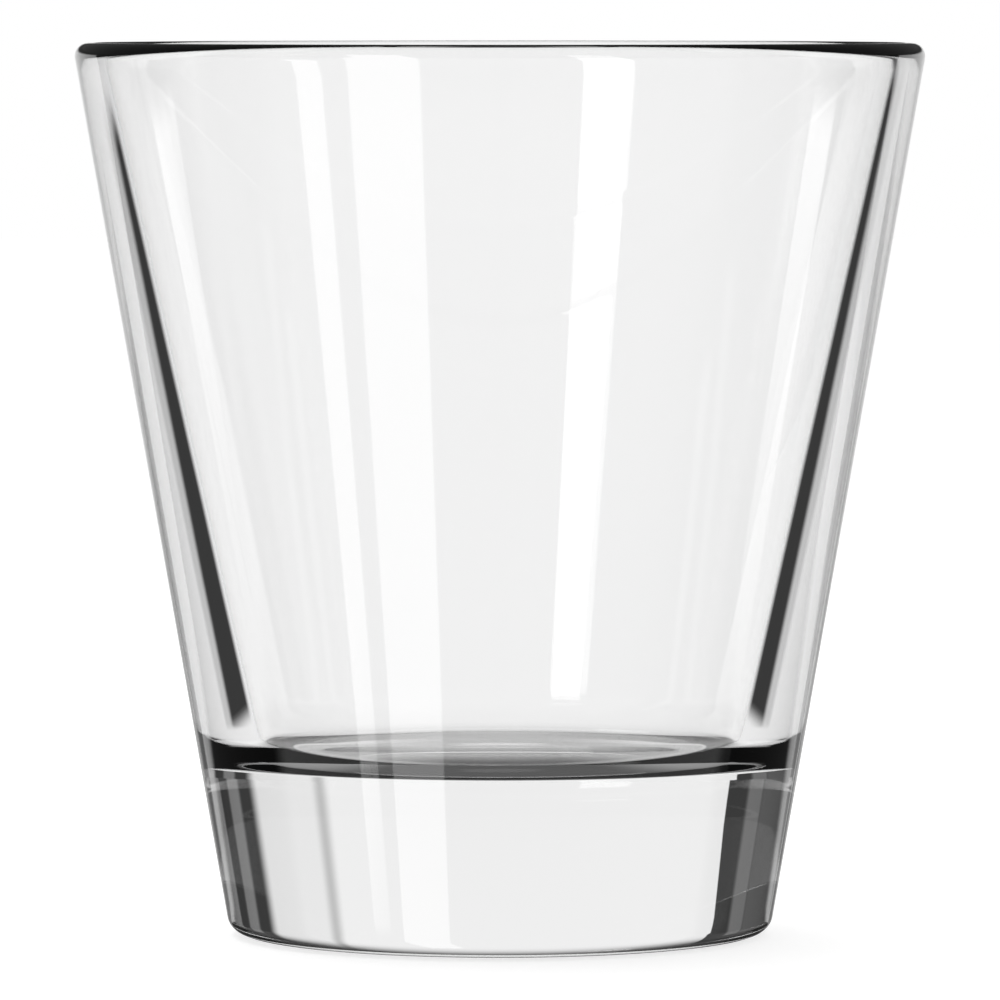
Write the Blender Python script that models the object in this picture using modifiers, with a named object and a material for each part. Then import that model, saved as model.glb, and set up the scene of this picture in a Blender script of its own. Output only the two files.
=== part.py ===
"""Heavy-bottomed double old fashioned tumbler, pressed in one piece from clear soda-lime glass.

The whole glass is one turned section. It runs from the middle of the inside floor, out and up the
inside wall, over the fire-polished rim, down the outside wall and round the foot to the middle of the
underside. Metres, +Z up, origin at the middle of the plane that the foot stands on.
"""

import math

import bpy

# Driving dimensions, in metres. Diameters are taken where two straight lines of the section would meet,
# before that corner is rounded.
HEIGHT = 0.1030
RIM_DIAMETER = 0.0987
FOOT_DIAMETER = 0.0626
RIM_WALL = 0.00307
FLOOR_THICKNESS = 0.0205
FLOOR_DIAMETER = 0.0554
FLOOR_CORNER_RADIUS = 0.0050
FOOT_CORNER_RADIUS = 0.0023
BEARING_RING_WIDTH = 0.0058
PUSH_UP_DEPTH = 0.0010

# Facets: around the axis, and along each round stretch of the section.
TURN_STEPS = 96
FLOOR_CORNER_STEPS = 8
RIM_STEPS = 14
FOOT_CORNER_STEPS = 7
PUSH_UP_STEPS = 6
MERGE_DISTANCE = 0.00001

COLLECTION_NAME = "double_old_fashioned_glass"
TUMBLER_NAME = "tumbler"

# Clear soda-lime glass.
GLASS_COLOUR = (0.96, 0.98, 0.97, 1.0)
GLASS_ROUGHNESS = 0.0
GLASS_METALLIC = 0.0
GLASS_IOR = 1.52


def clear_scene():
    """Remove every object of the scene."""
    for obj in list(bpy.data.objects):
        bpy.data.objects.remove(obj)


def arc(centre, radius, start, end, steps):
    """Points of a circular arc in the section plane, from one angle to another, both ends included."""
    turn = (end - start) / steps
    angles = [start + turn * i for i in range(steps + 1)]
    return [(centre[0] + radius * math.cos(a), centre[1] + radius * math.sin(a)) for a in angles]


class WallLine:
    """One straight side of the wall: its radius at a height, and how far it leans out from upright."""

    def __init__(self, low_radius, low_height, high_radius, high_height):
        self.slope = (high_radius - low_radius) / (high_height - low_height)
        self.axis_radius = low_radius - self.slope * low_height
        self.lean = math.atan(self.slope)

    def radius(self, height):
        return self.axis_radius + self.slope * height

    def offset(self, distance):
        """The radial step that lies a given distance square from the line."""
        return distance / math.cos(self.lean)


def floor_stretch(inside):
    """The flat inside floor from the axis, and the round corner that turns up into the inside wall."""
    centre_height = FLOOR_THICKNESS + FLOOR_CORNER_RADIUS
    centre_radius = inside.radius(centre_height) - inside.offset(FLOOR_CORNER_RADIUS)
    corner = arc(
        (centre_radius, centre_height),
        FLOOR_CORNER_RADIUS,
        -math.pi / 2,
        -inside.lean,
        FLOOR_CORNER_STEPS,
    )
    return [(0.0, FLOOR_THICKNESS)] + corner


def rim_stretch(inside, outside):
    """The full round of the rim, tangent to both sides of the wall and to the top plane."""
    spread = inside.offset(1.0) + outside.offset(1.0) + outside.slope - inside.slope
    rim_radius = RIM_WALL / spread
    centre_height = HEIGHT - rim_radius
    centre_radius = outside.radius(centre_height) - outside.offset(rim_radius)
    return arc(
        (centre_radius, centre_height),
        rim_radius,
        math.pi - inside.lean,
        -outside.lean,
        RIM_STEPS,
    )


def foot_stretch(outside):
    """The round corner of the foot, the flat bearing ring, and the shallow push-up of the underside."""
    corner_centre = outside.radius(FOOT_CORNER_RADIUS) - outside.offset(FOOT_CORNER_RADIUS)
    corner = arc(
        (corner_centre, FOOT_CORNER_RADIUS),
        FOOT_CORNER_RADIUS,
        -outside.lean,
        -math.pi / 2,
        FOOT_CORNER_STEPS,
    )
    ring_inner = corner_centre - BEARING_RING_WIDTH
    dome_radius = (ring_inner**2 + PUSH_UP_DEPTH**2) / (2 * PUSH_UP_DEPTH)
    dome_angle = math.asin(ring_inner / dome_radius)
    dome = arc(
        (0.0, PUSH_UP_DEPTH - dome_radius),
        dome_radius,
        math.pi / 2 - dome_angle,
        math.pi / 2,
        PUSH_UP_STEPS,
    )
    return corner + dome


def tumbler_section():
    """The half section of the glass, from the axis above the floor round to the axis under the foot."""
    outside = WallLine(FOOT_DIAMETER / 2, 0.0, RIM_DIAMETER / 2, HEIGHT)
    inside = WallLine(FLOOR_DIAMETER / 2, FLOOR_THICKNESS, RIM_DIAMETER / 2 - RIM_WALL, HEIGHT)
    return floor_stretch(inside) + rim_stretch(inside, outside) + foot_stretch(outside)


def glass_material():
    """Clear polished glass."""
    material = bpy.data.materials.new("clear_soda_lime_glass")
    material.use_nodes = True
    shader = material.node_tree.nodes["Principled BSDF"]
    shader.inputs["Base Color"].default_value = GLASS_COLOUR
    shader.inputs["Roughness"].default_value = GLASS_ROUGHNESS
    shader.inputs["Metallic"].default_value = GLASS_METALLIC
    shader.inputs["IOR"].default_value = GLASS_IOR
    shader.inputs["Transmission Weight"].default_value = 1.0
    return material


def turned(name, section, material, collection):
    """A solid of revolution about the Z axis, from a section whose two ends lie on that axis."""
    mesh = bpy.data.meshes.new(name)
    points = [(radius, 0.0, height) for radius, height in section]
    edges = [(i, i + 1) for i in range(len(points) - 1)]
    mesh.from_pydata(points, edges, [])
    mesh.materials.append(material)
    obj = bpy.data.objects.new(name, mesh)
    collection.objects.link(obj)
    screw = obj.modifiers.new("turn", "SCREW")
    screw.axis = "Z"
    screw.angle = 2 * math.pi
    screw.steps = TURN_STEPS
    screw.render_steps = TURN_STEPS
    screw.use_merge_vertices = True
    screw.merge_threshold = MERGE_DISTANCE
    screw.use_smooth_shade = True
    return obj


def main():
    clear_scene()
    collection = bpy.data.collections.new(COLLECTION_NAME)
    bpy.context.scene.collection.children.link(collection)
    turned(TUMBLER_NAME, tumbler_section(), glass_material(), collection)


main()
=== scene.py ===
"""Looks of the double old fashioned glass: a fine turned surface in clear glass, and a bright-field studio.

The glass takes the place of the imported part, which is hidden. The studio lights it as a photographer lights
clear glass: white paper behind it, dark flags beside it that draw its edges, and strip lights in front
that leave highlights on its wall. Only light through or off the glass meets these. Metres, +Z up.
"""

import logging
import math
from dataclasses import dataclass, field
from enum import Enum
from typing import Any

import bpy
import numpy as np
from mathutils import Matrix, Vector


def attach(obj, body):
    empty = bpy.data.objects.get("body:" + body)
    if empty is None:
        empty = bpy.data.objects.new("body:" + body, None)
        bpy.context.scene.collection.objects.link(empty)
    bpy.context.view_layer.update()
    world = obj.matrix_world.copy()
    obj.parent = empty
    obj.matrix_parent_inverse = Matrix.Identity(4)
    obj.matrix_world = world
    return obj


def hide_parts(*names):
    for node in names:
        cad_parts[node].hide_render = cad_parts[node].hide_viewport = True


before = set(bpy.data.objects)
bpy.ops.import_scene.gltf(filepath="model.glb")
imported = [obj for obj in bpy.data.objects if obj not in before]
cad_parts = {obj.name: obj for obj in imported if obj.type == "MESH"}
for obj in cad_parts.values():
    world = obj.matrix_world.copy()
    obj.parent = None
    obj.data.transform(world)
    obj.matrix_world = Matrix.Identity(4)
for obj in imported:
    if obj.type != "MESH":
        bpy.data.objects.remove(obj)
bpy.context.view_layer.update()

LOG = logging.getLogger("double_old_fashioned_glass")

MILLIMETRE = 0.001
WHITE = "#FFFFFF"

# The sRGB curve: a straight toe, and above it a power of the offset value.
SRGB_TOE_END = 0.04045
SRGB_TOE_SLOPE = 12.92
SRGB_OFFSET = 0.055
SRGB_POWER = 2.4

# Grid lines over each soft edge of a card, and even steps between its edges.
EDGE_LINES = 7
PLAIN_STEPS = 16


class RayKind(Enum):
    """The kinds of ray that the studio answers in different ways, by their Light Path output."""

    CAMERA = "Is Camera Ray"
    THROUGH_GLASS = "Is Transmission Ray"
    MIRRORED = "Is Glossy Ray"


class Passage(Enum):
    """Which light through the glass meets a sheet, as a share of straight and of inside-mirrored light."""

    ALL = (1.0, 1.0)
    STRAIGHT = (1.0, 0.0)
    MIRRORED_INSIDE = (0.0, 1.0)


class PointValue(Enum):
    """The values that a lit sheet carries at its points, by the name of their attribute."""

    RADIANCE = "radiance"
    STRAIGHT_COVER = "straight_cover"
    INSIDE_COVER = "inside_cover"


def linear_colour(hex_code: str) -> tuple[float, float, float, float]:
    """Turn an sRGB hex colour into linear light.

    Args:
        hex_code: the colour as "#RRGGBB".

    Returns:
        Red, green, blue and an alpha of 1, in linear light.
    """
    parts = [int(hex_code[i : i + 2], 16) / 255 for i in (1, 3, 5)]
    linear = [
        p / SRGB_TOE_SLOPE if p <= SRGB_TOE_END else ((p + SRGB_OFFSET) / (1 + SRGB_OFFSET)) ** SRGB_POWER
        for p in parts
    ]
    return linear[0], linear[1], linear[2], 1.0


def add_node(
    tree: bpy.types.NodeTree,
    kind: str,
    settings: dict[str, Any] | None = None,
    inputs: dict[int | str, Any] | None = None,
) -> bpy.types.Node:
    """Add one node with its settings, its constants and its links.

    Args:
        tree: the node tree that takes the node.
        kind: the node's type name.
        settings: the node's own properties by name.
        inputs: a constant or an output socket for each input, by name or place.

    Returns:
        The new node.
    """
    node = tree.nodes.new(kind)
    for name, value in (settings or {}).items():
        setattr(node, name, value)
    for key, value in (inputs or {}).items():
        if isinstance(value, bpy.types.NodeSocket):
            tree.links.new(value, node.inputs[key])
        else:
            node.inputs[key].default_value = value
    return node


def empty_material(name: str) -> bpy.types.Material:
    """Make a material with an empty node tree.

    Args:
        name: the material's name.

    Returns:
        The new material.
    """
    material = bpy.data.materials.new(name)
    material.use_nodes = True
    material.node_tree.nodes.clear()
    return material


def add_mesh(name: str, points: np.ndarray, faces: list[list[int]]) -> bpy.types.Object:
    """Put points and faces into a new object of the scene, at the origin.

    Args:
        name: name of the object and of its mesh.
        points: x, y and z of each point.
        faces: the points of each face, by their place in the array.

    Returns:
        The new object.
    """
    mesh = bpy.data.meshes.new(name)
    mesh.from_pydata(points.tolist(), [], faces)
    made = bpy.data.objects.new(name, mesh)
    bpy.context.scene.collection.objects.link(made)
    return made


def point_at(
    item: bpy.types.Object, place: tuple[float, float, float], target: tuple[float, float, float]
) -> None:
    """Put a lamp or a camera at a place, link it into the scene and turn it to a target.

    Args:
        item: the lamp or the camera.
        place: where it stands.
        target: what it is turned to.
    """
    item.location = place
    item.rotation_euler = (Vector(target) - Vector(place)).to_track_quat("-Z", "Y").to_euler()
    bpy.context.scene.collection.objects.link(item)


@dataclass(frozen=True)
class PressedGlass:
    """Clear soda-lime glass, pressed in a mould and fire polished.

    Fire polishing melts the skin, so the eye gets a mirror-smooth surface with a faint, broad swell in
    place of tool marks, and a body that turns a little grey only where light runs a long way through it.
    """

    name: str = "clear_soda_lime_glass"
    skin_colour: str = WHITE
    body_colour: str = "#EBEBEB"
    body_density: float = 10.0
    ior: float = 1.52
    swell_width: float = 9.0 * MILLIMETRE
    swell_height: float = 0.004 * MILLIMETRE

    def material(self) -> bpy.types.Material:
        """Make the material.

        Returns:
            A new glass material.
        """
        material = empty_material(self.name)
        tree = material.node_tree
        place = add_node(tree, "ShaderNodeTexCoord")
        # The swell is one noise cell to each swell width, with no finer layers: the skin was liquid.
        swell = add_node(
            tree,
            "ShaderNodeTexNoise",
            inputs={"Vector": place.outputs["Object"], "Scale": 1 / self.swell_width, "Detail": 0.0},
        )
        bump = add_node(
            tree,
            "ShaderNodeBump",
            inputs={"Strength": 1.0, "Distance": self.swell_height, "Height": swell.outputs["Fac"]},
        )
        skin = add_node(
            tree,
            "ShaderNodeBsdfPrincipled",
            inputs={
                "Base Color": linear_colour(self.skin_colour),
                "Roughness": 0.0,
                "Metallic": 0.0,
                "IOR": self.ior,
                "Transmission Weight": 1.0,
                "Normal": bump.outputs["Normal"],
            },
        )
        body = add_node(
            tree,
            "ShaderNodeVolumeAbsorption",
            inputs={"Color": linear_colour(self.body_colour), "Density": self.body_density},
        )
        add_node(
            tree,
            "ShaderNodeOutputMaterial",
            inputs={"Surface": skin.outputs["BSDF"], "Volume": body.outputs["Volume"]},
        )
        return material


@dataclass(frozen=True)
class LitPaper:
    """Matt paper under studio light, as the glass shows it.

    It shines evenly by its own radiance where it covers, and lets light by elsewhere. Light that was
    mirrored more often than the limit, which lies between none and one, meets the inside cover.
    """

    name: str = "lit_paper"
    mirror_limit: float = 0.5

    def material(self) -> bpy.types.Material:
        """Make the material, which takes its radiance and its two covers from the points of a sheet.

        Returns:
            A new material.
        """
        material = empty_material(self.name)
        material.cycles.emission_sampling = "NONE"
        tree = material.node_tree
        radiance, straight_cover, inside_cover = (
            add_node(tree, "ShaderNodeAttribute", {"attribute_name": value.value}).outputs["Fac"]
            for value in PointValue
        )
        rays = add_node(tree, "ShaderNodeLightPath")
        mirrored = add_node(
            tree,
            "ShaderNodeMath",
            {"operation": "GREATER_THAN"},
            {0: rays.outputs["Glossy Depth"], 1: self.mirror_limit},
        )
        cover = add_node(
            tree,
            "ShaderNodeMix",
            {"data_type": "FLOAT"},
            {"Factor": mirrored.outputs[0], "A": straight_cover, "B": inside_cover},
        )
        shine = add_node(tree, "ShaderNodeEmission", inputs={"Strength": radiance})
        clear = add_node(tree, "ShaderNodeBsdfTransparent")
        paper = add_node(
            tree,
            "ShaderNodeMixShader",
            inputs={0: cover.outputs["Result"], 1: clear.outputs["BSDF"], 2: shine.outputs["Emission"]},
        )
        add_node(tree, "ShaderNodeOutputMaterial", inputs={"Surface": paper.outputs["Shader"]})
        return material


@dataclass(frozen=True)
class WhiteLaminate:
    """White laminate with a matt face, which glows to the camera so that it runs into the white behind it."""

    name: str = "white_laminate"
    paint: str = "#B4B4B4"
    glow: float = 0.74
    roughness: float = 0.9

    def material(self) -> bpy.types.Material:
        """Make the material.

        Returns:
            A new material.
        """
        material = empty_material(self.name)
        tree = material.node_tree
        rays = add_node(tree, "ShaderNodeLightPath")
        shown = add_node(
            tree,
            "ShaderNodeMath",
            {"operation": "MULTIPLY"},
            {0: rays.outputs[RayKind.CAMERA.value], 1: self.glow},
        )
        face = add_node(
            tree,
            "ShaderNodeBsdfPrincipled",
            inputs={
                "Base Color": linear_colour(self.paint),
                "Roughness": self.roughness,
                "Specular IOR Level": 0.0,
                "Emission Color": linear_colour(WHITE),
                "Emission Strength": shown.outputs[0],
            },
        )
        add_node(tree, "ShaderNodeOutputMaterial", inputs={"Surface": face.outputs["BSDF"]})
        return material


@dataclass(frozen=True)
class WallSide:
    """One straight side of the wall, from a low point to a high point of the section."""

    low_radius: float
    low_height: float
    high_radius: float
    high_height: float

    @property
    def slope(self) -> float:
        """Radius gained for each metre of height."""
        return (self.high_radius - self.low_radius) / (self.high_height - self.low_height)

    @property
    def lean(self) -> float:
        """Angle from upright, in radians."""
        return math.atan(self.slope)

    def radius(self, height: float) -> float:
        """Radius of the side at a height."""
        return self.low_radius + self.slope * (height - self.low_height)

    def offset(self, distance: float) -> float:
        """Radial step that lies a given distance square from the side."""
        return distance / math.cos(self.lean)


def arc(centre: tuple[float, float], radius: float, start: float, end: float, steps: int) -> np.ndarray:
    """Points of a circular arc: centre plus radius times the cosine and sine of an evenly stepped angle.

    Args:
        centre: radius and height of the arc's centre in the section.
        radius: the arc's own radius.
        start: first angle, in radians from outward.
        end: last angle.
        steps: number of even steps.

    Returns:
        An array of radius and height, steps + 1 rows.
    """
    angle = np.linspace(start, end, steps + 1)
    return np.column_stack((centre[0] + radius * np.cos(angle), centre[1] + radius * np.sin(angle)))


def straight(start: np.ndarray, end: np.ndarray, steps: int) -> np.ndarray:
    """Points between two points of the section, both left out, in even steps.

    Args:
        start: radius and height of the first point.
        end: radius and height of the last point.
        steps: number of even steps.

    Returns:
        An array of radius and height, steps - 1 rows.
    """
    share = np.linspace(0.0, 1.0, steps + 1)[1:-1, None]
    return start + share * (end - start)


@dataclass
class Tumbler:
    """The glass itself: one piece, turned from one section.

    Diameters are taken where two straight lines of the section would meet, before the corner is rounded.
    """

    node: str = "tumbler"
    body: str = "root"
    slot: str = "clear_glass"
    name: str = "tumbler_glass"
    height: float = 103.0 * MILLIMETRE
    rim_diameter: float = 98.7 * MILLIMETRE
    foot_diameter: float = 62.6 * MILLIMETRE
    rim_wall: float = 3.07 * MILLIMETRE
    floor_thickness: float = 20.5 * MILLIMETRE
    floor_diameter: float = 55.4 * MILLIMETRE
    floor_corner_radius: float = 5.0 * MILLIMETRE
    foot_corner_radius: float = 2.3 * MILLIMETRE
    bearing_ring_width: float = 5.8 * MILLIMETRE
    push_up_depth: float = 1.0 * MILLIMETRE
    turn_steps: int = 384
    corner_steps: int = 20
    rim_steps: int = 40
    dome_steps: int = 20
    wall_steps: int = 56
    floor_steps: int = 18
    ring_steps: int = 6
    piece: bpy.types.Object | None = field(default=None, init=False)

    def section(self) -> np.ndarray:
        """The half section, from the axis above the floor, over the rim, to the axis under the foot.

        Two straight sides of unlike lean make the wall. An arc tangent to the floor and the inside, one
        tangent to both sides and the top plane, and one tangent to the outside and the standing plane
        round its corners, and a shallow dome closes the underside.

        Returns:
            An array of radius and height, with both ends on the axis.
        """
        down = -math.pi / 2
        up = math.pi / 2
        rim_inside = self.rim_diameter / 2 - self.rim_wall
        outside = WallSide(self.foot_diameter / 2, 0.0, self.rim_diameter / 2, self.height)
        inside = WallSide(self.floor_diameter / 2, self.floor_thickness, rim_inside, self.height)
        floor_middle = np.array([[0.0, self.floor_thickness]])
        corner = self.floor_corner_radius
        corner_height = self.floor_thickness + corner
        corner_centre = inside.radius(corner_height) - inside.offset(corner)
        floor_corner = arc((corner_centre, corner_height), corner, down, -inside.lean, self.corner_steps)
        spread = inside.offset(1.0) + outside.offset(1.0) + outside.slope - inside.slope
        rim_radius = self.rim_wall / spread
        rim_height = self.height - rim_radius
        rim_centre = outside.radius(rim_height) - outside.offset(rim_radius)
        rim_start = math.pi - inside.lean
        rim = arc((rim_centre, rim_height), rim_radius, rim_start, -outside.lean, self.rim_steps)
        foot = self.foot_corner_radius
        foot_centre = outside.radius(foot) - outside.offset(foot)
        foot_corner = arc((foot_centre, foot), foot, -outside.lean, down, self.corner_steps)
        ring_inner = foot_centre - self.bearing_ring_width
        dome_radius = (ring_inner**2 + self.push_up_depth**2) / (2 * self.push_up_depth)
        dome_start = up - math.asin(ring_inner / dome_radius)
        dome = arc((0.0, self.push_up_depth - dome_radius), dome_radius, dome_start, up, self.dome_steps)
        return np.vstack(
            (
                floor_middle,
                straight(floor_middle[0], floor_corner[0], self.floor_steps),
                floor_corner,
                straight(floor_corner[-1], rim[0], self.wall_steps),
                rim,
                straight(rim[-1], foot_corner[0], self.wall_steps),
                foot_corner,
                straight(foot_corner[-1], dome[0], self.ring_steps),
                dome,
            )
        )

    def build(self) -> bpy.types.Object:
        """Turn the section about the axis into a closed mesh.

        The surface is (radius cos turn, radius sin turn, height), with the place along the section and the
        turn as its two parameters. Each end of the section is one point, joined to its ring by triangles.

        Returns:
            The new piece, at the origin.
        """
        section = self.section()
        rings = section[1:-1]
        turn = np.linspace(0.0, 2 * math.pi, self.turn_steps, endpoint=False)
        grid = np.stack(
            (
                rings[:, :1] * np.cos(turn),
                rings[:, :1] * np.sin(turn),
                np.repeat(rings[:, 1:], self.turn_steps, axis=1),
            ),
            axis=-1,
        )
        poles = np.array([[0.0, 0.0, section[0, 1]], [0.0, 0.0, section[-1, 1]]])
        points = np.vstack((grid.reshape(-1, 3), poles))
        index = np.arange(len(rings) * self.turn_steps).reshape(len(rings), self.turn_steps)
        ahead = np.roll(index, -1, axis=1)
        quads = np.stack((index[:-1], index[1:], ahead[1:], ahead[:-1]), axis=-1).reshape(-1, 4)
        upper = np.full(self.turn_steps, index.size)
        lower = upper + 1
        floor_fan = np.column_stack((upper, index[0], ahead[0]))
        under_fan = np.column_stack((lower, ahead[-1], index[-1]))
        self.piece = add_mesh(self.name, points, quads.tolist() + floor_fan.tolist() + under_fan.tolist())
        self.piece.data.shade_smooth()
        self.piece.data.update()
        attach(self.piece, self.body)
        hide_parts(self.node)
        return self.piece

    def dress(self, finish: PressedGlass) -> None:
        """Give the piece its glass."""
        self.piece.data.materials.append(finish.material())


def soft_step(value: np.ndarray, middle: float | np.ndarray, width: float) -> np.ndarray:
    """A smooth rise from 0 to 1, centred on a value.

    Args:
        value: where to read the step.
        middle: the value at which the step is half way.
        width: how far the step takes.

    Returns:
        Three t squared less two t cubed, with t held between 0 and 1.
    """
    t = np.clip((value - middle) / width + 0.5, 0.0, 1.0)
    return t * t * (3 - 2 * t)


def edge_lines(
    length: float, low_feather: float, high_feather: float, plain: int = PLAIN_STEPS
) -> np.ndarray:
    """Grid lines across a card: close together over each soft edge, and even between the edges.

    Args:
        length: the card's size in this direction.
        low_feather: softness of the edge at 0.
        high_feather: softness of the edge at the length.
        plain: number of even steps between the edges.

    Returns:
        Places along the card in rising order, past each edge by half its softness.
    """
    fine = np.linspace(-0.5, 0.5, EDGE_LINES)
    even = np.linspace(0.0, length, plain + 1)
    return np.unique(np.concatenate((fine * low_feather, even, length + fine * high_feather)))


@dataclass(frozen=True)
class Sheet:
    """A surface of the studio on a grid: where it lies, how bright it is and how much it covers."""

    points: np.ndarray
    radiance: np.ndarray
    cover: np.ndarray
    passage: Passage = Passage.ALL


@dataclass(frozen=True)
class FarCard:
    """A card far from the glass, with four straight and soft edges.

    Corners are bearing and elevation in degrees: lower left, lower right, upper right and upper left, as
    seen from the glass. Bearings turn from straight behind the glass towards the photo's right. Feathers
    are the softness in degrees of the bottom, right, top and left edge. A radiance of 1 is white.
    """

    corners: tuple[tuple[float, float], ...]
    radiance: float
    feathers: tuple[float, ...]
    passage: Passage = Passage.ALL

    def sheet(self, reach: float) -> Sheet:
        """Lay the card out on a grid.

        The surface is reach times (sin bearing cos elevation, cos bearing cos elevation, sin elevation),
        with bearing and elevation blended between the four corners by the two shares of the card.

        Args:
            reach: distance of the card from the glass.

        Returns:
            The card's sheet.
        """
        low_left, low_right, high_right, high_left = np.array(self.corners)
        bottom, right, top, left = self.feathers
        width = (low_right[0] - low_left[0] + high_right[0] - high_left[0]) / 2
        height = (high_left[1] - low_left[1] + high_right[1] - low_right[1]) / 2
        across, up = np.meshgrid(edge_lines(width, left, right), edge_lines(height, bottom, top))
        cover = soft_step(across, 0.0, left) * soft_step(width - across, 0.0, right)
        cover = cover * soft_step(up, 0.0, bottom) * soft_step(height - up, 0.0, top)
        u = (across / width)[..., None]
        v = (up / height)[..., None]
        place = (1 - v) * ((1 - u) * low_left + u * low_right) + v * ((1 - u) * high_left + u * high_right)
        bearing, elevation = np.moveaxis(np.radians(place), -1, 0)
        way = (np.sin(bearing) * np.cos(elevation), np.cos(bearing) * np.cos(elevation), np.sin(elevation))
        return Sheet(reach * np.stack(way, axis=-1), np.full(cover.shape, self.radiance), cover, self.passage)


def upright_card(
    left: float,
    right: float,
    low: float,
    high: float,
    radiance: float,
    feathers: float | tuple[float, ...] = 2.0,
    passage: Passage = Passage.ALL,
) -> FarCard:
    """A far card with upright sides.

    Args:
        left: bearing of the left side.
        right: bearing of the right side.
        low: elevation of the lower corners.
        high: elevation of the upper corners.
        radiance: how bright it is.
        feathers: softness of its edges, one for all or one for each.
        passage: which light meets it.

    Returns:
        The card.
    """
    corners = ((left, low), (right, low), (right, high), (left, high))
    edges = feathers if isinstance(feathers, tuple) else (feathers,) * len(corners)
    return FarCard(corners, radiance, edges, passage)


@dataclass(frozen=True)
class Flag:
    """A small black card that stands just outside the picture and draws a dark line in the wall.

    It stands on a line that starts at x and y and has a heading. From there its near edge sets back by a
    lean at its top, its far edge lies at the foot run and the top run, and a grey border follows that edge:
    painted shade that the flag casts on what lies beside it.
    """

    start: tuple[float, float]
    heading: float
    lean: float
    foot_run: float
    top_run: float
    top: float
    foot: float = 10.0 * MILLIMETRE
    radiance: float = 0.045
    shade_border: float = 6.0 * MILLIMETRE
    shade_radiance: float = 0.7
    near_feather: float = 3.0 * MILLIMETRE
    far_feather: float = 4.0 * MILLIMETRE
    foot_feather: float = 3.0 * MILLIMETRE
    top_feather: float = 8.0 * MILLIMETRE
    along_steps: int = 48
    up_steps: int = 32

    def sheet(self) -> Sheet:
        """Lay the card out on a grid: straight along its heading, and straight up from its foot to its top.

        Returns:
            The card's sheet.
        """
        rise = self.top - self.foot
        along, up = np.meshgrid(
            edge_lines(self.foot_run + self.shade_border, self.near_feather, self.far_feather, self.along_steps),
            edge_lines(rise, self.foot_feather, self.top_feather, self.up_steps),
        )
        share = np.clip(up / rise, 0.0, 1.0)
        run = self.foot_run + (self.top_run - self.foot_run) * share
        into_shade = soft_step(along, run, self.far_feather)
        cover = soft_step(along, self.lean * share, self.near_feather)
        cover = cover * soft_step(run + self.shade_border - along, 0.0, self.far_feather)
        cover = cover * soft_step(up, 0.0, self.foot_feather) * soft_step(rise - up, 0.0, self.top_feather)
        turn = math.radians(self.heading)
        points = np.stack(
            (
                self.start[0] + along * math.sin(turn),
                self.start[1] + along * math.cos(turn),
                self.foot + up,
            ),
            axis=-1,
        )
        # Past the far edge the card turns grey: painted shade beside the flag.
        radiance = self.radiance + (self.shade_radiance - self.radiance) * into_shade
        return Sheet(points, radiance, cover, Passage.MIRRORED_INSIDE)


@dataclass(frozen=True)
class Backdrop:
    """White paper behind the glass, dimmer towards its top, with a second sheet joined on at the right.

    Along the joint the paper is thinned so that the dark room behind it shows through, as painted shade where
    the second sheet joins on, and the second sheet is a little greyer. The
    left edge leans out towards its foot, by its lean for each metre below the lean's height.
    """

    distance: float = 300.0 * MILLIMETRE
    left: float = -206.0 * MILLIMETRE
    left_lean: float = 0.8
    lean_height: float = 67.0 * MILLIMETRE
    right: float = 262.0 * MILLIMETRE
    top: float = 235.0 * MILLIMETRE
    dim_from: float = 70.0 * MILLIMETRE
    dim_to: float = 230.0 * MILLIMETRE
    dimmest: float = 0.1
    joint: float = 127.0 * MILLIMETRE
    joint_width: float = 24.0 * MILLIMETRE
    shaded_joint_cover: float = 0.58
    second_sheet: float = 0.93
    left_feather: float = 3.0 * MILLIMETRE
    right_feather: float = 40.0 * MILLIMETRE
    across_steps: int = 160
    up_steps: int = 64

    def sheet(self) -> Sheet:
        """Lay the paper out on a grid: x runs from side to side and z from the table up.

        Returns:
            The paper's sheet.
        """
        width = self.right - self.left
        lines = self.left + edge_lines(width, self.left_feather, self.right_feather, self.across_steps)
        across, up = np.meshgrid(lines, np.linspace(0.0, self.top, self.up_steps + 1))
        cover = soft_step(across, self.left, self.left_feather)
        cover = cover * soft_step(-across, -self.right, self.right_feather)
        paper = 1 - (1 - self.second_sheet) * soft_step(across, self.joint, self.joint_width)
        # Painted shade along the joint: the paper thins there, so that the dark room shows through.
        half = self.joint_width / 2
        seam_shade = soft_step(across, self.joint - half / 2, half)
        seam_shade = seam_shade * soft_step(-across, -self.joint - half / 2, half)
        cover = cover * (1 - (1 - self.shaded_joint_cover) * seam_shade)
        middle = (self.dim_from + self.dim_to) / 2
        fade = 1 - (1 - self.dimmest) * soft_step(up, middle, self.dim_to - self.dim_from)
        lean = self.left_lean * np.minimum(up - self.lean_height, 0.0) * np.maximum(across / self.left, 0.0)
        points = np.stack((across + lean, np.full(across.shape, self.distance), up), axis=-1)
        return Sheet(points, paper * fade, cover)


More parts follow.
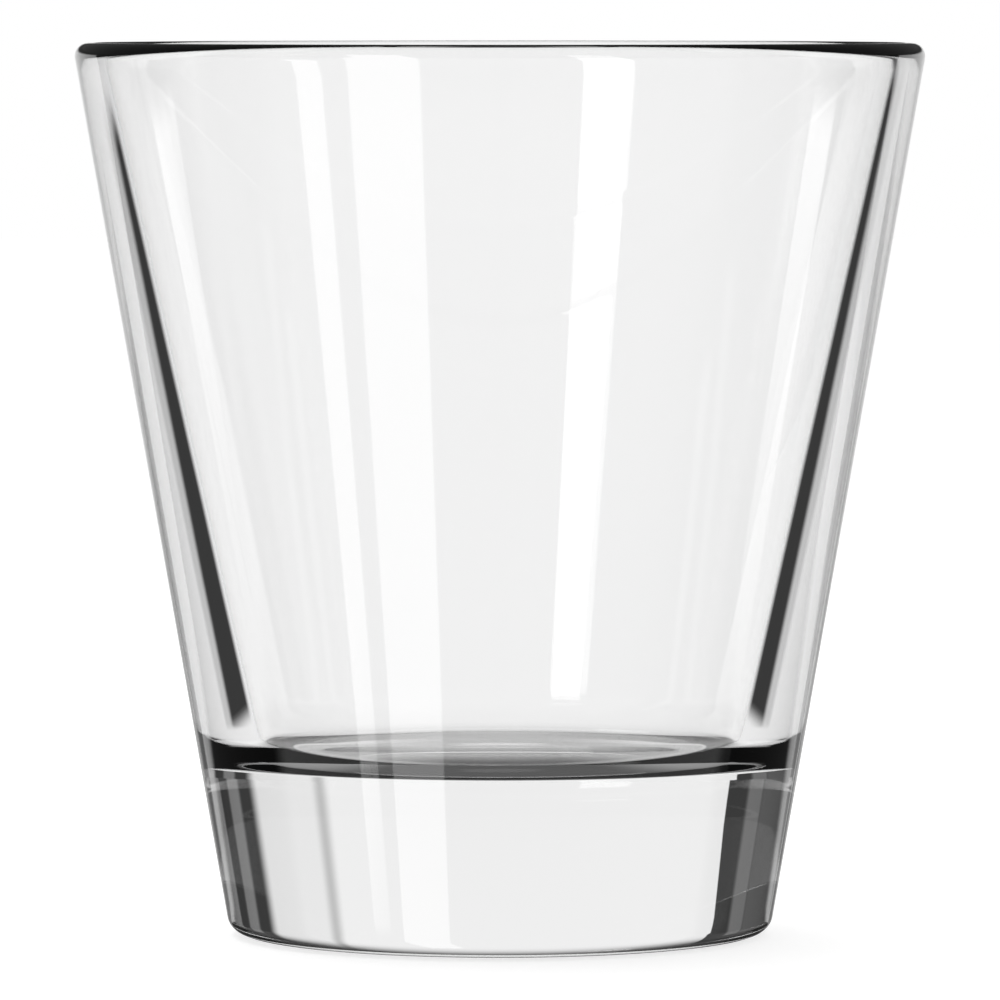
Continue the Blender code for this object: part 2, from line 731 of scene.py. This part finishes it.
@dataclass(frozen=True)
class WhiteTable:
    """The table top as it shows through the glass.

    It is white behind the glass and takes the front level before it. Far out at both sides, and no further
    back than the room slope times the distance aside, it takes the room's level. Under the foot it is dark
    in the middle and paler towards both sides, and the dark fades softly close round the foot.
    """

    passage: Passage
    front: float
    level: float
    reach: float = 3.0
    shade_radius: float = 33.0 * MILLIMETRE
    shade_fade: float = 6.0 * MILLIMETRE
    shade: float = 0.08
    side_shade: float = 0.3
    side_middle: float = 22.0 * MILLIMETRE
    side_width: float = 12.0 * MILLIMETRE
    front_middle: float = 9.0 * MILLIMETRE
    front_width: float = 16.0 * MILLIMETRE
    room: float = 1.0
    room_middle: float = 320.0 * MILLIMETRE
    room_slope: float = 0.66
    room_width: float = 40.0 * MILLIMETRE
    inner_rings: int = 24
    outer_rings: int = 96
    first_gap: float = 0.5 * MILLIMETRE
    turn_steps: int = 144

    def sheet(self) -> Sheet:
        """Lay the table out in rings round the glass: (radius cos turn, radius sin turn, level).

        Past the foot, the shade falls off by the same share over each step of radius.

        Returns:
            The table's sheet.
        """
        inner = np.linspace(0.0, self.shade_radius, self.inner_rings)
        outer = self.shade_radius + np.geomspace(self.first_gap, self.reach, self.outer_rings)
        turns = np.linspace(0.0, 2 * math.pi, self.turn_steps + 1)
        radius, turn = np.meshgrid(np.concatenate((inner, outer)), turns)
        across = radius * np.cos(turn)
        along = radius * np.sin(turn)
        aside = np.abs(across)
        open_table = self.front + (1 - self.front) * soft_step(along, self.front_middle, self.front_width)
        beyond = soft_step(aside, self.room_middle, self.room_width)
        beyond = beyond * soft_step(self.room_slope * aside - along, 0.0, self.room_width)
        open_table = open_table + (self.room - open_table) * beyond
        side = soft_step(aside, self.side_middle, self.side_width)
        shade = self.shade + (self.side_shade - self.shade) * side
        depth = np.exp(-np.clip(radius - self.shade_radius, 0.0, None) / self.shade_fade)
        radiance = open_table + (shade - open_table) * depth
        points = np.stack((across, along, np.full(radius.shape, self.level)), axis=-1)
        return Sheet(points, radiance, np.ones(radius.shape), self.passage)


# The table is white to light straight through the glass, and grey in front to light mirrored inside it.
TABLES = (
    WhiteTable(
        Passage.STRAIGHT,
        front=1.0,
        level=-0.25 * MILLIMETRE,
        side_shade=0.65,
        side_middle=15.0 * MILLIMETRE,
        side_width=18.0 * MILLIMETRE,
    ),
    WhiteTable(Passage.MIRRORED_INSIDE, front=0.3, level=-0.27 * MILLIMETRE, room=0.2),
)

# Black flags at both sides, just outside the picture, for light mirrored inside the wall.
FLAGS = (
    Flag(
        start=(-66.4 * MILLIMETRE, 14.1 * MILLIMETRE),
        heading=21.8,
        lean=1.0 * MILLIMETRE,
        foot_run=16.3 * MILLIMETRE,
        top_run=4.6 * MILLIMETRE,
        top=86.2 * MILLIMETRE,
    ),
    Flag(
        start=(67.0 * MILLIMETRE, 12.8 * MILLIMETRE),
        heading=-21.8,
        lean=0.9 * MILLIMETRE,
        foot_run=13.1 * MILLIMETRE,
        top_run=4.7 * MILLIMETRE,
        top=92.8 * MILLIMETRE,
    ),
)

# The dim room in front of the glass, above.
DIM_FRONT = (
    upright_card(-180.0, -100.0, 15.0, 60.0, 0.35, 8.0),
    upright_card(100.0, 180.0, 15.0, 60.0, 0.35, 8.0),
)

# The upper length of the strip light in front on the left, which the skin and the back wall mirror.
HIGH_STRIP = FarCard(
    ((-157.0, 7.5), (-140.8, 7.5), (-135.0, 30.0), (-150.8, 30.0)), 3.2, (2.0, 1.0, 2.0, 1.0)
)

# The far room as it shows through the glass, from the back to the front of the stack.
THROUGH_CARDS = (
    *DIM_FRONT,
    # The light overhead.
    upright_card(-180.0, 180.0, 78.0, 90.0, 1.0, (6.0, 0.1, 0.1, 0.1)),
    HIGH_STRIP,
    # The pale room at the sides and in front, for straight light in the views from elsewhere.
    upright_card(60.0, 300.0, -12.0, 9.6, 0.95, 1.6, Passage.STRAIGHT),
    upright_card(88.0, 272.0, 4.0, 60.0, 0.95, 6.0, Passage.STRAIGHT),
    upright_card(-134.0, -121.0, 8.0, 40.0, 0.12, 2.0, Passage.STRAIGHT),
    # Dim uprights beside the backdrop, which the sides of the base show.
    upright_card(52.0, 58.5, 2.0, 20.0, 0.26),
    upright_card(65.5, 82.0, 2.0, 20.0, 0.32),
    upright_card(-53.0, -46.0, 2.0, 20.0, 0.20),
    upright_card(-80.0, -53.0, 2.0, 20.0, 0.13),
)

# What the skin mirrors, from the back to the front of the stack.
MIRRORED_CARDS = (
    # The table top all round, and the dim room above in front.
    upright_card(-180.0, 180.0, -88.0, 5.0, 0.7, (0.1, 0.1, 6.0, 0.1)),
    *DIM_FRONT,
    # The dark room at the sides, and the white backdrop.
    upright_card(-86.0, 86.0, -60.0, 8.0, 0.06, (2.0, 8.0, 2.0, 8.0)),
    upright_card(-39.0, 43.0, -10.4, 4.3, 0.95, (1.0, 1.5, 3.0, 1.5)),
    # The backdrop's painted shade towards its foot, and grey patches of painted shade at each side of the
    # middle.
    upright_card(-18.0, 18.0, -10.4, -5.2, 0.62, (1.0, 3.0, 2.0, 3.0)),
    upright_card(-18.0, 18.0, -10.4, -7.3, 0.3, (1.0, 3.0, 1.0, 3.0)),
    upright_card(-26.0, -18.0, -9.0, -5.3, 0.25, (1.0, 2.0, 1.5, 2.5)),
    upright_card(20.0, 27.0, -9.0, -5.4, 0.4, (1.0, 2.0, 1.5, 2.0)),
    upright_card(25.5, 31.5, -8.4, -5.4, 0.2, (1.0, 1.5, 1.2, 1.5)),
    # Two strip lights in front on the left, the second in two lengths, and a faint one at each side.
    FarCard(((-131.5, -23.6), (-124.2, -23.6), (-118.2, -8.0), (-126.4, -8.0)), 3.1, (4.0, 1.0, 2.0, 1.0)),
    upright_card(-158.0, -137.4, -60.0, 8.0, 2.95, 1.0),
    HIGH_STRIP,
    FarCard(((-78.9, -14.2), (-72.0, -13.7), (-66.4, -11.2), (-77.4, -12.6)), 1.95, (6.5, 1.0, 0.5, 1.0)),
    FarCard(((76.7, -14.8), (85.8, -15.9), (82.8, -13.4), (73.1, -12.1)), 2.6, (6.5, 1.0, 0.5, 1.0)),
)


@dataclass(frozen=True)
class Studio:
    """The room round the glass: sheets for each kind of ray, in a world of plain levels."""

    through_level: float = 0.05
    mirrored_level: float = 0.08
    soft_light: float = 0.6
    camera_level: float = 1.0
    reach: float = 30.0
    spacing: float = 0.5

    def far_sheets(self, cards: tuple[FarCard, ...]) -> list[Sheet]:
        """Far cards as sheets, each a little nearer than the one before it."""
        return [card.sheet(self.reach - self.spacing * place) for place, card in enumerate(cards)]

    def hang(self, name: str, sheets: list[Sheet], kind: RayKind, material: bpy.types.Material) -> None:
        """Make one object of some sheets, which only one kind of ray meets.

        Args:
            name: the object's name.
            sheets: the sheets.
            kind: the kind of ray.
            material: the sheets' material.
        """
        points, faces, first = [], [], 0
        for sheet in sheets:
            index = first + np.arange(sheet.cover.size).reshape(sheet.cover.shape)
            quads = np.stack((index[:-1, :-1], index[:-1, 1:], index[1:, 1:], index[1:, :-1]), axis=-1)
            points.append(sheet.points.reshape(-1, 3))
            faces.append(quads.reshape(-1, 4))
            first += sheet.cover.size
        hung = add_mesh(name, np.vstack(points), np.vstack(faces).tolist())
        values = {
            PointValue.RADIANCE: [sheet.radiance for sheet in sheets],
            PointValue.STRAIGHT_COVER: [sheet.cover * sheet.passage.value[0] for sheet in sheets],
            PointValue.INSIDE_COVER: [sheet.cover * sheet.passage.value[1] for sheet in sheets],
        }
        for key, grids in values.items():
            row = np.concatenate([grid.ravel() for grid in grids]).astype(np.float32)
            hung.data.attributes.new(key.value, "FLOAT", "POINT").data.foreach_set("value", row)
        hung.data.materials.append(material)
        hung.visible_camera = False
        hung.visible_diffuse = False
        hung.visible_shadow = False
        hung.visible_volume_scatter = False
        hung.visible_glossy = kind is RayKind.MIRRORED
        hung.visible_transmission = kind is RayKind.THROUGH_GLASS

    def world(self) -> bpy.types.World:
        """Make a world with a plain level for each kind of ray.

        Returns:
            The new world.
        """
        world = bpy.data.worlds.new("glass_studio")
        world.use_nodes = True
        tree = world.node_tree
        tree.nodes.clear()
        rays = add_node(tree, "ShaderNodeLightPath")
        # A ray that leaves the glass counts as mirrored too, so what shows through is laid over that.
        answers = (
            (RayKind.MIRRORED, self.mirrored_level),
            (RayKind.THROUGH_GLASS, self.through_level),
            (RayKind.CAMERA, self.camera_level),
        )
        strength: Any = self.soft_light
        for kind, answer in answers:
            strength = add_node(
                tree,
                "ShaderNodeMix",
                {"data_type": "FLOAT"},
                {"Factor": rays.outputs[kind.value], "A": strength, "B": answer},
            ).outputs["Result"]
        glow = add_node(
            tree, "ShaderNodeBackground", inputs={"Color": linear_colour(WHITE), "Strength": strength}
        )
        add_node(tree, "ShaderNodeOutputWorld", inputs={"Surface": glow.outputs["Background"]})
        return world

    def build(self, finish: LitPaper) -> None:
        """Hang the sheets, and set the world on the scene.

        Args:
            finish: the finish of all the sheets.
        """
        near = [Backdrop().sheet()] + [item.sheet() for item in TABLES + FLAGS]
        paper = finish.material()
        self.hang("through_cards", near + self.far_sheets(THROUGH_CARDS), RayKind.THROUGH_GLASS, paper)
        self.hang("mirrored_cards", self.far_sheets(MIRRORED_CARDS), RayKind.MIRRORED, paper)
        bpy.context.scene.world = self.world()


@dataclass
class TableTop:
    """The pale floor that the glass stands on, and the soft lamp over it."""

    reach: float = 3.0
    drop: float = 0.3 * MILLIMETRE
    lamp_place: tuple[float, float, float] = (-0.1, 0.15, 0.9)
    lamp_aim: tuple[float, float, float] = (0.0, 0.0, 0.05)
    lamp_size: float = 0.8
    lamp_power: float = 6.0
    floor: bpy.types.Object | None = field(default=None, init=False)

    def build(self) -> bpy.types.Object:
        """Lay the floor and hang the lamp.

        The floor is the square of (x, y) between plus and minus its reach, a hair below the foot.

        Returns:
            The floor.
        """
        edge = np.array([-self.reach, self.reach])
        across, along = np.meshgrid(edge, edge)
        points = np.column_stack((across.ravel(), along.ravel(), np.full(across.size, -self.drop)))
        self.floor = add_mesh("table_top", points, [[0, 1, 3, 2]])
        self.floor.visible_glossy = False
        self.floor.visible_transmission = False
        self.hang_lamp()
        return self.floor

    def hang_lamp(self) -> None:
        """Hang a round soft lamp over the floor, which shows neither in the picture nor in the glass."""
        lamp = bpy.data.lights.new("overhead_softbox", "AREA")
        lamp.shape = "DISK"
        lamp.size = self.lamp_size
        lamp.energy = self.lamp_power
        hung = bpy.data.objects.new("overhead_softbox", lamp)
        point_at(hung, self.lamp_place, self.lamp_aim)
        hung.visible_camera = False
        hung.visible_glossy = False
        hung.visible_transmission = False

    def dress(self, finish: WhiteLaminate) -> None:
        """Give the floor its laminate."""
        self.floor.data.materials.append(finish.material())


@dataclass(frozen=True)
class PhotoCamera:
    """The photo's viewpoint: a long lens, a little above the rim and tipped down."""

    place: tuple[float, float, float] = (0.0, -1.05, 0.1085)
    aim: tuple[float, float, float] = (0.0, 0.0, 0.0501)
    focal_length: float = 327.0
    sensor: float = 36.0
    nearest: float = 0.01

    def build(self) -> bpy.types.Object:
        """Set up the camera and make it the scene's own.

        Returns:
            The camera.
        """
        data = bpy.data.cameras.new("photo_camera")
        data.lens = self.focal_length
        data.sensor_width = self.sensor
        data.clip_start = self.nearest
        camera = bpy.data.objects.new("photo_camera", data)
        point_at(camera, self.place, self.aim)
        bpy.context.scene.camera = camera
        return camera


@dataclass(frozen=True)
class LightPaths:
    """How many steps a light path may take.

    Light crosses the glass often enough for its thick base, and what is caught in its edges is lost.
    """

    through: int = 12
    mirrored: int = 2
    past_sheets: int = 16

    def build(self) -> None:
        """Set the limits on the scene."""
        cycles = bpy.context.scene.cycles
        cycles.max_bounces = self.through + self.mirrored
        cycles.transmission_bounces = self.through
        cycles.glossy_bounces = self.mirrored
        cycles.transparent_max_bounces = self.past_sheets


def main() -> None:
    """Build the glass, dress it, and set up its studio."""
    logging.basicConfig(level=logging.INFO, format="%(message)s")
    tumbler = Tumbler()
    tumbler.build()
    tumbler.dress(PressedGlass())
    LOG.info("built %s with %d faces", tumbler.piece.name, len(tumbler.piece.data.polygons))
    table = TableTop()
    table.build()
    table.dress(WhiteLaminate())
    Studio().build(LitPaper())
    PhotoCamera().build()
    LightPaths().build()
    bpy.context.scene.view_settings.view_transform = "Standard"


if __name__ == "__main__":
    main()
